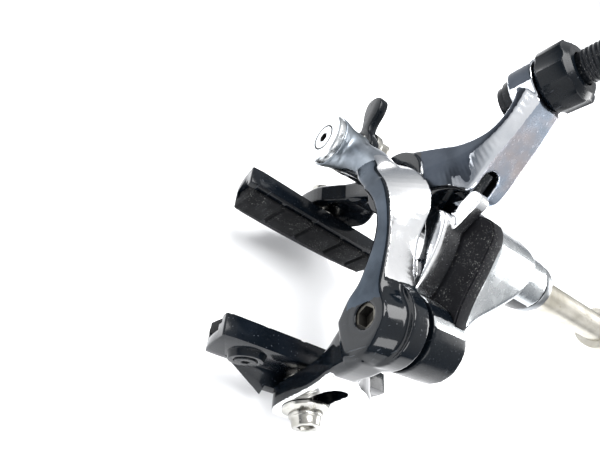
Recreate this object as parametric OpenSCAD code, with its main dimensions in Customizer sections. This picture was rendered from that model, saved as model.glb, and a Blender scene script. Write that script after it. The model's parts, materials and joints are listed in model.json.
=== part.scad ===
// Caliper brake, dual pivot, for a road bicycle.
// Frame: origin on the centre bolt axis at the frame contact plane, X to the viewer's right
// seen from the front, Y to the rear (the sleeve nut leaves that way), Z up.

/* [Pivots] */
// Distance of each arm pivot from the centre bolt axis, sideways
pivot_x = 19.7; // [18:0.1:22]
// Height of the arm pivots against the centre bolt axis
pivot_z = -11; // [-14:0.1:-8]
// Radius of the pivot bolts
pivot_bolt_r = 3; // [2.5:0.1:3.5]
// Wall of the sleeve pressed into each arm
bush_wall = 1.1; // [0.8:0.1:1.6]
// Radial play between a pivot bolt and its sleeve
pivot_play = 0.03; // [0.01:0.01:0.08]
// Radius of the arm bosses round the pivots
boss_r = 9; // [8.2:0.1:10]

/* [Front arm] */
// Front face of the front arm
front_y = -46.8; // [-48:0.1:-45]
// Rear face of the front arm plate
plate_back_y = -37.6; // [-39:0.1:-37]
// Rounding of the long edges of the arms
arm_edge = 0.8; // [0.3:0.1:1.4]
// Front of the cam band
band_front_y = -36.3; // [-37:0.1:-35.8]
// Rear of the cam band
band_back_y = -30; // [-30.6:0.1:-29.9]

/* [Rear arm] */
// Front of the rear arm's boss
rear_boss_front_y = -36.9; // [-37.2:0.1:-36]
// Rear of the rear arm's boss
rear_boss_back_y = -27.3; // [-28:0.1:-27]
// Half width of the slot in the outer face
slot_half_w = 2.4; // [1.8:0.1:2.8]
// Depth of that slot
slot_depth = 4.2; // [3:0.1:5.5]

/* [Legs] */
// Outward lean of the lower ends, in degrees
leg_lean = 8; // [4:0.5:11]
// Thickness of the lower ends
tongue_t = 5.8; // [4.6:0.1:6.6]
// Width of the pad bolt slot
pad_slot_w = 6.2; // [6.1:0.1:6.6]
// How far the pad bolt travels in its slot
pad_travel = 10; // [5:0.5:12]
// Sideways position of the pad bolt at the middle of the lower end
pad_x = 28.6; // [28:0.1:31]
// Position of the pad bolt from front to rear
pad_y = -35; // [-37:0.1:-33]
// Height of the pad bolt at the bottom of its slot
pad_z = -43.4; // [-48:0.1:-42]

/* [Shoes and pads] */
// Sideways position of a shoe's outer face
shoe_face_x = 23.3; // [22.8:0.1:23.6]
// Gap between the two open pads
pad_gap = 34; // [32:0.5:35]
// Pitch of the shoes, front end up, in degrees
shoe_pitch = 4; // [0:0.5:7]
// Radius of the convex washers
pad_washer_r = 6; // [5.5:0.1:6.8]

/* [Bracket] */
// Radius of the boss round the centre bolt
centre_r = 7; // [6.6:0.1:8]
// Front of the bracket at the centre
bracket_front_y = -26; // [-27:0.1:-25.4]
// Rear of the bracket's boss
bracket_back_y = -3; // [-4:0.1:-2.4]
// Radius of the bracket's ears
ear_r = 8.7; // [8:0.1:9]

/* [Fixing] */
// Radius of the centre bolt
centre_bolt_r = 3; // [2.8:0.1:3.3]
// Radius of the sleeve nut that goes into the fork or frame
sleeve_r = 4; // [3.8:0.1:4.2]
// Rear end of the sleeve nut's flange
sleeve_end_y = 40; // [24:0.5:44]
// Radius of the sleeve nut's flange
sleeve_flange_r = 6; // [5.2:0.1:6.6]
// Radius of the toothed washer against the frame
tooth_washer_r = 6.6; // [6:0.1:7.6]
// Teeth round that washer
washer_teeth = 36; // [24:1:44]

/* [Release] */
// Sideways position of the release axle
release_x = -32; // [-33:0.1:-31.5]
// Height of the release axle
release_z = -20.5; // [-21.5:0.1:-20]
// Radius of the release axle's disc
release_r = 7; // [6.4:0.1:7.6]
// Length of the release lever from its axle
lever_len = 21; // [17:0.5:23]
// Direction of the open lever, degrees above the left
lever_up = 22; // [10:1:35]

/* [Adjuster] */
// Lean of the adjuster, in degrees
adj_lean = 9; // [5:0.5:12]
// Radius of the adjuster barrel
barrel_r = 3.6; // [3.5:0.1:4]
// Radius of the knob over its lobes
knob_r = 7.6; // [7:0.1:8.4]
// Lobes round the knob
knob_lobes = 6; // [4:1:8]
// Bore for the cable housing
housing_r = 2.55; // [2.5:0.05:2.7]

/* [Hidden] */
// Segments of true round shapes
$fn = 48;
// Small overlap that makes cuts clean
eps = 0.02;
finger_r = 1.9;
nut_room_r = 5.4;
hub_r = 5.9;
sleeve_front_y = 2.2;
// Clearance between parts that move past each other
gap = 0.3;
// Steps of a smooth curve between two control points
smooth = 4;
// Points on a rounded corner
corner_n = 3;
bush_r = pivot_bolt_r + bush_wall;
rear_bush_in = pivot_bolt_r + pivot_play;
ear_front_near = band_front_y + 0.3;
ear_back_near = -25.5;
ear_front_far = bracket_front_y;
ear_back_far = -15.5;
tongue_half = tongue_t / 2;
slot_half = pad_slot_w / 2;
pad_face_x = pad_gap / 2;
shoe_back_x = shoe_face_x - 5;
release_back_y = -41.1;
release_face_y = -51;
adj_x = -32.5;
adj_y = -26.5;
adj_z = 21;
eye_h = 5.6;
spring_pocket_r = 6.3;
spring_pocket_y = -22.8;
lever_front_y = -40.8;
lever_back_y = -37.5;
cover_front_y = band_back_y + 0.4;
cover_back_y = bracket_front_y - 0.05;

// Curves and lofts

function mix(a, b, t) = a + (b - a) * t;

function spline_at(a, b, c, d, t) =
  0.5 * (2 * b + (c - a) * t + (2 * a - 5 * b + 4 * c - d) * t * t
    + (3 * b - a - 3 * c + d) * t * t * t);

// Smooth open curve through the points, of any dimension
function curve(p, n = smooth) = concat(
  [for (i = [0 : len(p) - 2]) for (k = [0 : n - 1])
    spline_at(p[max(i - 1, 0)], p[i], p[i + 1], p[min(i + 2, len(p) - 1)], k / n)],
  [p[len(p) - 1]]);

// Flat outline moved inwards by d, point by point, for outlines that run counterclockwise
function inset(p, d) = [for (i = [0 : len(p) - 1])
  let (a = p[(i + len(p) - 1) % len(p)], b = p[(i + 1) % len(p)], v = b - a, l = norm(v))
    p[i] + d * [-v[1], v[0]] / max(l, eps)];

// Rounded rectangle of fixed point count
function rounded(a0, a1, b0, b1, r) =
  let (q = min(r, (a1 - a0) / 2 - eps, (b1 - b0) / 2 - eps))
    [for (c = [[a1 - q, b1 - q, 0], [a0 + q, b1 - q, 90], [a0 + q, b0 + q, 180],
               [a1 - q, b0 + q, 270]])
      for (k = [0 : corner_n])
        [c[0] + q * cos(c[2] + 90 * k / corner_n), c[1] + q * sin(c[2] + 90 * k / corner_n)]];

function centre_of(p, i = 0, t = [0, 0, 0]) =
  i == len(p) ? t / len(p) : centre_of(p, i + 1, t + p[i]);

// Area vector of a ring, which tells the way it runs
function area_of(p, i = 0, t = [0, 0, 0]) =
  i == len(p) ? t : area_of(p, i + 1, t + cross(p[i] - p[0], p[(i + 1) % len(p)] - p[0]));

// Whether q lies within the triangle a, b, c that runs about up
function inside(q, a, b, c, up) =
  cross(b - a, q - a) * up > 0 && cross(c - b, q - b) * up > 0 && cross(a - c, q - c) * up > 0;

// Triangles that fill a ring, cut off corner by corner where no other point is in the way
function fill(p, up, ids, k = 0, tries = 0, done = []) =
  let (n = len(ids), i = ids[(k + n - 1) % n], j = ids[k], m = ids[(k + 1) % n])
    n < 3 ? done
    : tries > n || (cross(p[j] - p[i], p[m] - p[j]) * up > eps * eps
        && len([for (q = ids) if (inside(p[q], p[i], p[j], p[m], up)) q]) == 0)
      ? fill(p, up, [for (q = ids) if (q != j) q], (k + 1) % (n - 1), 0, concat(done, [[i, j, m]]))
      : fill(p, up, ids, (k + 1) % n, tries + 1, done);

function cap(ring) = fill(ring, area_of(ring), [for (i = [0 : len(ring) - 1]) i]);

// Closed skin over rings of equal point count, whichever way they run
module loft(rings) {
  n = len(rings[0]);
  m = len(rings);
  ahead = area_of(rings[0]) * (centre_of(rings[1]) - centre_of(rings[0])) > 0;
  turned = [for (r = rings) [for (i = [0 : n - 1]) r[ahead ? i : n - 1 - i]]];
  polyhedron(
    points = [for (r = turned) for (q = r) q],
    faces = concat(
      cap(turned[0]),
      [for (j = [0 : m - 2]) for (i = [0 : n - 1]) for (f = [
        [j * n + i, (j + 1) * n + i, (j + 1) * n + (i + 1) % n],
        [j * n + i, (j + 1) * n + (i + 1) % n, j * n + (i + 1) % n]]) f],
      [for (f = cap(turned[m - 1])) (m - 1) * n * [1, 1, 1] + [f[2], f[1], f[0]]]));
}

// Rings in planes across Y, from flat outlines in X and Z
function ring_y(p, y) = [for (q = p) [q[0], y, q[1]]];

// Plate between two outlines that differ at front and rear, with rounded long edges
module plate(front, rear, y0, y1, edge = arm_edge) {
  mid = [for (i = [0 : len(front) - 1]) (front[i] + rear[i]) / 2];
  loft([
    ring_y(inset(front, edge), y0),
    ring_y(inset(front, edge * 0.3), y0 + edge * 0.3),
    ring_y(front, y0 + edge),
    ring_y(mid, (y0 + y1) / 2),
    ring_y(rear, y1 - edge),
    ring_y(inset(rear, edge * 0.3), y1 - edge * 0.3),
    ring_y(inset(rear, edge), y1)
  ]);
}

// Straight prism of a flat outline in X and Z, between two Y planes
module slab(y0, y1) {
  translate([0, y1, 0]) rotate([90, 0, 0]) linear_extrude(y1 - y0) children();
}

// Cylinder along Y
module cyl_y(x, z, r, y0, y1) {
  translate([x, y0, z]) rotate([-90, 0, 0]) cylinder(r = r, h = y1 - y0);
}

// Cone along Y
module cone_y(x, z, r0, r1, y0, y1) {
  translate([x, y0, z]) rotate([-90, 0, 0]) cylinder(r1 = r0, r2 = r1, h = y1 - y0);
}

// Hex prism along Y
module hex_y(x, z, flats, y0, y1) {
  translate([x, y0, z]) rotate([-90, 0, 0]) cylinder(r = flats / sqrt(3), h = y1 - y0, $fn = 6);
}

// Lower end of an arm: a tongue that leans outwards, built from stations down the leg.
// Each station is height, inner X, outer X, front Y, rear Y, corner radius.
leg_front = [
  [-13, 14.6, 28.4, front_y + 0.3, plate_back_y - 0.1, 1.5],
  [-17, 17.4, 29.2, front_y + 0.6, plate_back_y - 0.1, 1.8],
  [-21, 20.0, 29.4, front_y + 1.2, plate_back_y + 0.1, 1.8],
  [-24.5, 21.8, 29.1, front_y + 2.2, -34.5, 1.6],
  [-28, 23.0, 29.4, -43.6, -28.5, 1.2],
  [-32, 23.8, 29.9, -42.8, -23.8, 1.0],
  [-36, 24.5, 30.3, -42.3, -23, 0.9]
];
leg_rear = [
  [-13, 14.6, 28.4, rear_boss_front_y, rear_boss_back_y, 1.5],
  [-17, 17.4, 29.2, rear_boss_front_y, rear_boss_back_y, 1.8],
  [-21, 20.0, 29.4, rear_boss_front_y + 0.1, rear_boss_back_y, 1.8],
  [-24.5, 21.8, 29.1, rear_boss_front_y + 0.1, -27.4, 1.6],
  [-28, 23.0, 29.4, -37.6, -26, 1.2],
  [-32, 23.8, 29.9, -39.8, -24, 1.0],
  [-36, 24.5, 30.3, -41.8, -23, 0.9]
];
leg_end = [
  [-40, 25.1, 30.9, -42.2, -24.3, 0.9],
  [-44, 25.7, 31.5, -42.0, -26.4, 0.9],
  [-48, 26.3, 32.1, -41.4, -28.2, 0.9],
  [-50.6, 26.7, 32.5, -40.0, -29.8, 0.9],
  [-52.2, 26.9, 32.7, -38.3, -31.6, 0.9],
  [-52.8, 27.1, 32.6, -36.9, -33.2, 0.9]
];

module leg(top) {
  stations = curve(concat(top, leg_end), 3);
  difference() {
    loft([for (s = stations) [for (p = rounded(s[1], s[2], s[3], s[4], s[5])) [p[0], p[1], s[0]]]]);
    pad_slot();
  }
}

// Moves things to the pad bolt, X square to the lower end, Z up along it
module at_pad(up = 0) {
  translate([pad_x, pad_y, pad_z]) rotate([0, -leg_lean, 0]) translate([0, 0, up]) children();
}

module pad_slot() {
  at_pad() {
    for (x = [-tongue_half - boss_r, tongue_half])
      translate([x, -pad_washer_r - gap, -pad_washer_r - gap])
        cube([boss_r, 2 * (pad_washer_r + gap), pad_travel + 2 * (pad_washer_r + gap)]);
    for (z = [0, pad_travel + 0.6])
      translate([-boss_r, 0, z]) rotate([0, 90, 0]) cylinder(r = slot_half, h = 2 * boss_r);
    translate([-boss_r, -slot_half, 0]) cube([2 * boss_r, pad_slot_w, pad_travel + 0.6]);
  }
}

// Front arm

front_inner = [
  [-22.9, -12.3], [-21, -14], [-17.6, -14.2], [-13.5, -12.1], [-9, -9.4], [-5.2, -8.1],
  [-1.3, -7.8], [3, -8.7], [7.6, -10.8], [11.8, -13.3], [14.6, -16.4], [19, -19.4]
];
front_outer = [
  [27.6, -17.4], [27.9, -12.8], [25.0, -7.9], [19.7, -5.6], [14.5, -6.4], [9.5, -5.2],
  [5.2, -4.1], [1, -3.6], [-5.2, -3.7], [-11.4, -4.9], [-18, -8.2], [-22.2, -10.2]
];
back_inner = [
  [-23.6, -11.2], [-21.6, -13.6], [-17.6, -13.9], [-13.5, -11.7], [-9, -9.1], [-5.2, -7.9],
  [-1.3, -7.7], [3, -8.6], [7.6, -10.7], [11.8, -13.3], [14.6, -16.4], [19, -19.4]
];
back_outer = [
  [27.6, -17.4], [28.7, -11], [25.6, -4.2], [19.7, -2.1], [14.2, -4.0], [9.5, -4.6],
  [5.2, -3.8], [1, -2.6], [-5.2, 1.0], [-11.4, 1.2], [-18.4, -2.4], [-23.4, -8.8]
];

function closed(a, b) = concat(curve(a), curve(b));

// Cam band outline, outer edge then inner edge
band_outer = [
  [12.9, -8.2], [9.9, -4.8], [7.8, -2.9], [4.7, -0.3], [1.1, 1.9], [-3.2, 3.4], [-5.3, 1.6]
];
band_inner = [
  [-4.6, -2.6], [-0.8, -3], [3, -4.3], [6.4, -6.6], [9.2, -9.8]
];

module front_arm() {
  color("#1b1d20") difference() {
    union() {
      plate(closed(front_inner, front_outer), closed(back_inner, back_outer), front_y,
        plate_back_y - 0.1);
      leg(leg_front);
      cyl_y(pivot_x, pivot_z, boss_r, plate_back_y - 4.4, plate_back_y);
      anchor_horn();
      cam_band();
    }
    cyl_y(pivot_x, pivot_z, bush_r, front_y - 1, plate_back_y + 1);
    cyl_y(pivot_x, pivot_z, 4.9, front_y - 1, front_y + 4.4);
    cyl_y(release_x, release_z, 3.1, release_face_y - 1, release_back_y + 1);
    cyl_y(release_x, release_z, 5.4, release_back_y - 4.5, release_back_y + 1);
    cyl_y(release_x, release_z, hub_r + 2 * gap, release_back_y, plate_back_y + 1);
  }
}

// End of the front arm, swept round from the release disc into the arm.
// Each station is X, Y, Z, turn of the path in degrees, radius across, radius along Y
horn_stations = [
  [release_x, release_face_y, release_z, 0, release_r + 0.3, release_r + 0.3],
  [release_x, release_face_y + 1.6, release_z, 0, release_r + 0.1, release_r + 0.1],
  [-31.6, -47.2, -20.1, 18, 6.4, 6.4],
  [-29.9, -45.0, -18.7, 48, 5.6, 5.7],
  [-26.6, -43.5, -16.0, 75, 4.9, 5.0],
  [-21.6, -42.6, -11.6, 88, 4.7, 4.6],
  [-16.4, -42.3, -8.3, 90, 4.2, 4.2]
];
horn_across = [-0.655, 0, 0.755];
horn_along = [0.755, 0, 0.655];

function horn_ring(s) =
  let (d = [0, cos(s[3]), 0] + sin(s[3]) * horn_along, u = cross(d, horn_across))
    [for (k = [0 : 19]) [s[0], s[1], s[2]] + s[4] * cos(18 * k) * horn_across
      + s[5] * sin(18 * k) * u];

module anchor_horn() {
  loft([for (s = curve(horn_stations, 3)) horn_ring(s)]);
  cyl_y(release_x, release_z, 6.2, release_face_y + 3, release_back_y);
}

// Silver band behind the plate with the finger that works the other arm
module cam_band() {
  difference() {
    union() {
      plate(closed(band_outer, band_inner), closed(band_outer, band_inner), band_front_y,
        band_back_y, 0.4);
      slab(plate_back_y - 2, band_front_y + 1)
        polygon([[4.8, -5.2], [8.6, -5.6], [11.6, -7.9], [12.4, -10.8], [9.6, -12.6], [6.2, -9.2]]);
    }
    cyl_y(pivot_x, pivot_z, ear_r + gap, plate_back_y + 0.1, band_back_y + 1);
  }
  finger();
}

module finger() {
  root = [-2.4, 1.8];
  tip = [-6.0, 8.4];
  aim = atan2(tip[1] - root[1], tip[0] - root[0]);
  slab(band_back_y - 3.6, band_back_y - 0.2)
    polygon([for (e = [[tip, -90], [root, 90]]) for (k = [0 : 8])
      e[0] + finger_r * [cos(aim + e[1] + 22.5 * k), sin(aim + e[1] + 22.5 * k)]]);
}

// Rear arm: each station is height, left X, front ridge X, outer X, front Y, ridge Y, rear Y
rear_stations = [
  [-14, -27.8, -20.0, -13.0, -36.4, -36.0, rear_boss_back_y],
  [-8, -28.0, -20.0, -11.6, -36.4, -36.0, rear_boss_back_y],
  [-2, -25.8, -18.6, -12.6, -36.2, -35.6, -26.9],
  [3.5, -23.6, -17.8, -11.4, -35.6, -34.6, -26.5],
  [7, -22.2, -17.6, -9.6, -35, -32.8, -23],
  [11, -21.4, -17.9, -12.4, -34.6, -32.4, -22],
  [15.5, -22.0, -19.6, -16.2, -34, -31.8, -22],
  [20, -25.6, -22.6, -19.8, -33.2, -31.2, -22],
  [24, -32.4, -27.6, -23.4, -32.4, -30.6, -22],
  [26.4, -35.6, -31.0, -25.6, -31.6, -30, -22]
];

function rear_section(s) = [
  [s[3], s[6] - 0.6, s[0]], [s[3] - 0.6, s[6], s[0]], [s[1] + 0.8, s[6], s[0]],
  [s[1], s[6] - 0.8, s[0]], [s[1], s[4] + 0.8, s[0]], [s[1] + 0.8, s[4], s[0]],
  [s[2] - 0.4, s[4], s[0]], [s[2] + 0.4, s[4] + 0.2, s[0]], [s[3] - 0.5, s[5] - 0.1, s[0]],
  [s[3], s[5] + 0.6, s[0]]
];

module rear_arm() {
  color("#c9ccd0") difference() {
    union() {
      loft([for (s = curve(rear_stations, 4)) rear_section(s)]);
      mirror([1, 0, 0]) leg(leg_rear);
      cyl_y(-pivot_x, pivot_z, boss_r, rear_boss_front_y, rear_boss_back_y);
      at_adjuster() cylinder(r = 6.9, h = eye_h);
      slab(-29.2, cover_back_y - gap) polygon([[-14, -9], [-14, -3.4], [-9.2, -4.4], [-8.8, -5.6]]);
    }
    cyl_y(-pivot_x, pivot_z, bush_r, rear_boss_front_y - 1, rear_boss_back_y + 1);
    cyl_y(-pivot_x, pivot_z, 5.3, rear_boss_front_y - 1, rear_boss_front_y + 3.6);
    cyl_y(-pivot_x, pivot_z, ear_r + gap, rear_boss_back_y, rear_boss_back_y + 6);
    at_adjuster() translate([0, 0, -3]) cylinder(r = barrel_r + 0.05, h = eye_h + 6);
    at_adjuster() translate([0, 0, eye_h]) cylinder(r = knob_r + 1, h = 12);
    at_adjuster() translate([0, 0, -14]) cylinder(r = 5.6, h = 14);
    outer_slot();
  }
}

// Slot in the outer face that takes the centring screw, open at its lower end
module outer_slot() {
  translate([-12.2, -28.9, 10.2]) rotate([0, -40, 0]) {
    translate([-slot_depth, 0, 0]) rotate([0, 90, 0])
      cylinder(r = slot_half_w, h = slot_depth + 6);
    translate([-slot_depth, -slot_half_w, -12]) cube([slot_depth + 6, 2 * slot_half_w, 12]);
  }
}

// Moves things to the adjuster, Z along its barrel
module at_adjuster() {
  translate([adj_x, adj_y, adj_z]) rotate([0, adj_lean, 0]) children();
}

// Bracket: each station is X, front Y, rear Y, lower Z, upper Z, corner radius
bracket_stations = [
  [-27.4, -25.6, -17.5, -15, -8, 1.5],
  [-24, -26, -16, -18, -5.0, 2],
  [-19.7, -26, -15.5, -18.6, -2.9, 2],
  [-14, -26, -14, -15.5, 0.6, 2],
  [-8, -26, -11.4, -10.5, 5.0, 2],
  [-3.5, -26, -9.4, -8, 7.4, 2],
  [0, -26, -9, -7.4, 8.2, 2],
  [3.5, -26.2, -9.6, -8, 7.4, 2],
  [8, -27.6, -12.6, -10.5, 5.0, 2],
  [12, -30.2, -17, -13.6, 1.6, 2],
  [15.6, -33.6, -21.6, -16.4, -1.4, 2],
  [19.7, -35.6, -25, -18.6, -3.0, 2],
  [24, -35.9, -25.5, -18, -5.4, 2],
  [27.4, -35.6, -26, -15, -8, 1.5]
];

module bracket() {
  color("#aeb2b6") difference() {
    union() {
      loft([for (s = curve(bracket_stations, 3))
        [for (p = rounded(s[1], s[2], s[3], s[4], s[5])) [s[0], p[0], p[1]]]]);
      cyl_y(0, 0, centre_r, -20, bracket_back_y);
      cyl_y(pivot_x, pivot_z, ear_r, ear_front_near, ear_back_near);
      cyl_y(-pivot_x, pivot_z, ear_r, ear_front_far, ear_back_far);
    }
    cyl_y(0, 0, centre_bolt_r, bracket_front_y - 12, bracket_back_y + 1);
    cyl_y(0, 0, spring_pocket_r, bracket_front_y - 4, spring_pocket_y);
    cyl_y(pivot_x, pivot_z, pivot_bolt_r, ear_front_near - 1, ear_back_near + 3);
    cyl_y(-pivot_x, pivot_z, pivot_bolt_r, ear_front_far - 1, ear_back_far + 1);
    slab(-45, bracket_front_y - eps) bracket_front_room();
    cyl_y(pivot_x, pivot_z, nut_room_r, ear_back_near, ear_back_near + 8);
    cyl_y(-pivot_x, pivot_z, nut_room_r, ear_back_far, ear_back_far + 8);
  }
}

// Room in front of the bracket for the cover, the spring and the bolt head
module bracket_front_room() {
  difference() {
    polygon([[-30, -20], [-30, 20], [20.5, 20], [20.5, -3.4], [13.2, -10.4], [9, -20]]);
    translate([pivot_x, pivot_z]) circle(r = ear_r);
  }
}

// Resin cover over the return spring
cover_outer = [
  [20.6, -3.0], [16.2, -0.9], [12.6, 1.6], [9.4, 4.2], [5.4, 7.2], [2.2, 9.4], [-1.4, 9.6],
  [-3.9, 7.4]
];
cover_inner = [
  [-5.6, 4.6], [-4.6, 0.6], [-1.2, -2.2], [2.4, -4.4], [5.6, -7.6], [8.2, -11.2], [12.2, -13.4],
  [15.0, -13.0]
];

// Hollow of the cover over the coil and its working leg
module spring_room() {
  circle(r = 6.6);
  translate([-12, -6.6]) square([10, 5.4]);
}

module spring_cover() {
  outline = closed(cover_outer, cover_inner);
  color("#202124") difference() {
    union() {
      slab(cover_front_y + 0.4, cover_back_y) polygon(outline);
      slab(cover_front_y, cover_front_y + 0.5) polygon(inset(outline, 0.4));
    }
    cyl_y(pivot_x, pivot_z, ear_r + 0.1, ear_front_near - 1, ear_back_near + 1);
    slab(cover_front_y + 1.2, cover_back_y + 1) spring_room();
  }
}

// Return spring: a coil sunk in the bracket round the centre bolt, with one working leg
spring_wire = 0.65;
spring_coil_r = 5.2;
spring_back_y = -23.9;
spring_leg_y = cover_back_y - 1;
spring_turns = 2.3;
spring_end_angle = 205;
spring_tip = [-10.9, -3.35];

// Path point and direction along the coil, from the sunk end to the start of the leg
function coil_at(t) =
  let (a = spring_end_angle + 360 * spring_turns * (1 - t))
    [spring_coil_r * cos(a), mix(spring_back_y, spring_leg_y, t), spring_coil_r * sin(a), a];

function wire_ring(p, out) = [for (k = [0 : 9])
  [p[0], p[1], p[2]] + spring_wire * (cos(36 * k) * out + sin(36 * k) * [0, 1, 0])];

module return_spring() {
  steps = 54;
  last = coil_at(1);
  tip = [spring_tip[0], spring_leg_y, spring_tip[1]];
  run = tip - [last[0], last[1], last[2]];
  side = [-run[2], 0, run[0]] / norm(run);
  color("#8d9094") loft(concat(
    [for (k = [0 : steps]) let (c = coil_at(k / steps)) wire_ring(c, [cos(c[3]), 0, sin(c[3])])],
    [for (t = [0.35, 1]) wire_ring([last[0], last[1], last[2]] + t * run, side)]));
}

// Fixing to the frame

module centre_bolt() {
  color("#3a3c3f") difference() {
    union() {
      cyl_y(0, 0, centre_bolt_r, spring_pocket_y - 2, 30);
      cyl_y(0, 0, 4.2, spring_pocket_y - 4, spring_pocket_y - 0.9);
    }
    hex_y(0, 0, 4, spring_pocket_y - 5, spring_pocket_y - 2);
  }
}

module centre_washer() {
  color("#b9bcc0") difference() {
    cyl_y(0, 0, 4.3, spring_pocket_y - 0.88, spring_pocket_y - 0.02);
    cyl_y(0, 0, centre_bolt_r, spring_pocket_y - 2, spring_pocket_y + 1);
  }
}

module toothed_washer() {
  color("#c5c8cc") difference() {
    union() {
      cyl_y(0, 0, tooth_washer_r, -2.2, 0);
      cyl_y(0, 0, 5.2, bracket_back_y, -2.1);
    }
    cyl_y(0, 0, centre_bolt_r, -9, 1);
    for (k = [0 : washer_teeth - 1]) rotate([0, 360 * k / washer_teeth, 0])
      translate([tooth_washer_r, -3, 0]) rotate([0, 45, 0]) cube([0.5, 4, 0.5]);
  }
}

module sleeve_nut() {
  color("#d9d6cb") difference() {
    union() {
      cyl_y(0, 0, sleeve_r, sleeve_front_y, sleeve_end_y - 1);
      cyl_y(0, 0, sleeve_flange_r, sleeve_end_y - 3.6, sleeve_end_y - 0.6);
      cone_y(0, 0, sleeve_flange_r, sleeve_flange_r - 0.6, sleeve_end_y - 0.6, sleeve_end_y);
    }
    cyl_y(0, 0, centre_bolt_r, -1, 31);
    hex_y(0, 0, 5, sleeve_end_y - 6, sleeve_end_y + 1);
  }
}

// Pivots

module front_pivot_bolt() {
  color("#a9aba6") difference() {
    union() {
      cyl_y(pivot_x, pivot_z, pivot_bolt_r, front_y + 1.2, ear_back_near + 4);
      cyl_y(pivot_x, pivot_z, 4.5, front_y + 0.6, front_y + 4.1);
    }
    hex_y(pivot_x, pivot_z, 4, front_y - 1, front_y + 3);
  }
}

module rear_pivot_bolt() {
  color("#a9aba6") difference() {
    union() {
      cyl_y(-pivot_x, pivot_z, pivot_bolt_r, rear_boss_front_y + 0.5, ear_back_far + 4);
      cyl_y(-pivot_x, pivot_z, 4.9, rear_boss_front_y + 0.3, rear_boss_front_y + 3.3);
    }
    hex_y(-pivot_x, pivot_z, 4, rear_boss_front_y - 1, rear_boss_front_y + 2.4);
  }
}

module pivot_nut(x, y0) {
  color("#b4b6b2") difference() {
    union() {
      hex_y(x, pivot_z, 8, y0, y0 + 3.4);
      cyl_y(x, pivot_z, 4.9, y0, y0 + 0.8);
    }
    cyl_y(x, pivot_z, pivot_bolt_r, y0 - 1, y0 + 5);
  }
}

module front_pivot_nut() {
  pivot_nut(pivot_x, ear_back_near);
}

module rear_pivot_nut() {
  pivot_nut(-pivot_x, ear_back_far);
}

module thrust_washer(x, y0, y1) {
  color("#6f7276") difference() {
    cyl_y(x, pivot_z, 7.4, y0 + 0.02, y1 - 0.02);
    cyl_y(x, pivot_z, pivot_bolt_r, y0 - 1, y1 + 1);
  }
}

module front_thrust_washer() {
  thrust_washer(pivot_x, plate_back_y, ear_front_near);
}

module rear_thrust_washer() {
  thrust_washer(-pivot_x, rear_boss_back_y, ear_front_far);
}

module bush(x, y0, y1) {
  color("#b08d57") difference() {
    cyl_y(x, pivot_z, bush_r, y0, y1);
    cyl_y(x, pivot_z, rear_bush_in, y0 - 1, y1 + 1);
  }
}

module front_bush() {
  bush(pivot_x, front_y + 4.4, plate_back_y);
}

module rear_bush() {
  bush(-pivot_x, rear_boss_front_y + 3.6, rear_boss_back_y);
}

module centring_screw() {
  color("#44474b") translate([-12.2, -28.9, 10.2]) rotate([0, -40, 0])
    translate([-2.1, 0, -4.6]) difference() {
      cylinder(r = 1.9, h = 6);
      translate([0, 0, -1]) cylinder(r = 1, h = 2.6, $fn = 6);
    }
}

// Adjuster

module adjuster_barrel() {
  color("#26282b") at_adjuster() difference() {
    union() {
      translate([0, 0, -4]) cylinder(r = barrel_r, h = 24.5);
      for (k = [0 : 5]) translate([0, 0, 14.2 + 0.9 * k]) cylinder(r = barrel_r + 0.25, h = 0.45);
      translate([0, 0, -4]) cylinder(r = 4.4, h = 1.6);
    }
    translate([0, 0, -6]) cylinder(r = 1.5, h = 40);
    translate([0, 0, 10]) cylinder(r = housing_r, h = 20);
  }
}

module adjuster_knob() {
  color("#1c1e21") at_adjuster() difference() {
    union() {
      translate([0, 0, eye_h + 0.1]) cylinder(r1 = knob_r - 1.4, r2 = knob_r - 0.4, h = 1.2);
      translate([0, 0, eye_h + 1.2]) cylinder(r = knob_r, h = 5.4);
      translate([0, 0, eye_h + 6.5]) cylinder(r1 = knob_r - 0.4, r2 = knob_r - 2, h = 1.2);
    }
    cylinder(r = barrel_r + 0.3, h = 30);
    for (k = [0 : knob_lobes - 1]) rotate([0, 0, 360 * (k + 0.5) / knob_lobes])
      translate([knob_r + 4.6, 0, 0]) cylinder(r = 5.4, h = 30);
  }
}

module adjuster_detent() {
  color("#8a8d90") at_adjuster() difference() {
    translate([0, 0, -2.3]) cylinder(r = 5.2, h = 2.28);
    translate([0, 0, -6]) cylinder(r = barrel_r + 0.05, h = 12);
  }
}

// Release

module release_axle() {
  color("#d4d6d8") difference() {
    union() {
      cone_y(release_x, release_z, release_r - 0.5, release_r, release_face_y - 2,
        release_face_y - 1.5);
      cyl_y(release_x, release_z, release_r, release_face_y - 1.5, release_face_y - 0.05);
      cyl_y(release_x, release_z, 3.05, release_face_y - 1, lever_back_y - 0.6);
    }
    hex_y(release_x, release_z, 2.5, release_face_y - 4, release_face_y - 0.5);
    difference() {
      cyl_y(release_x, release_z, 3.7, release_face_y - 3, release_face_y - 1.8);
      cyl_y(release_x, release_z, 3.3, release_face_y - 4, release_face_y);
    }
  }
}

lever_outline = [
  [-1, 4.2], [-4.2, 4.6], [-6.8, 3.2], [-9, 1.4], [-11.8, 1.6], [-15.4, 3.1], [-19, 2.9],
  [-lever_len + 0.6, 0.2], [-19.4, -2.8], [-16.2, -3.5], [-12.4, -2.8], [-9.6, -2.6],
  [-7.2, -4.4], [-4.2, -4.8], [-1, -4.2]
];

module release_lever() {
  color("#1d1f22") translate([release_x, 0, release_z]) rotate([0, lever_up, 0])
    difference() {
      union() {
        plate(curve(lever_outline), curve(lever_outline), lever_front_y + 0.2,
          lever_back_y - 0.1, 0.5);
        cyl_y(0, 0, hub_r, lever_front_y, lever_back_y);
        cyl_y(-6, -1, 3.4, lever_front_y + 0.1, lever_back_y);
      }
      cyl_y(0, 0, 3.05, lever_front_y - 1, lever_back_y + 1);
      cyl_y(-6, -1, 2.05, lever_front_y - 1, lever_back_y + 1);
    }
}

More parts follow.
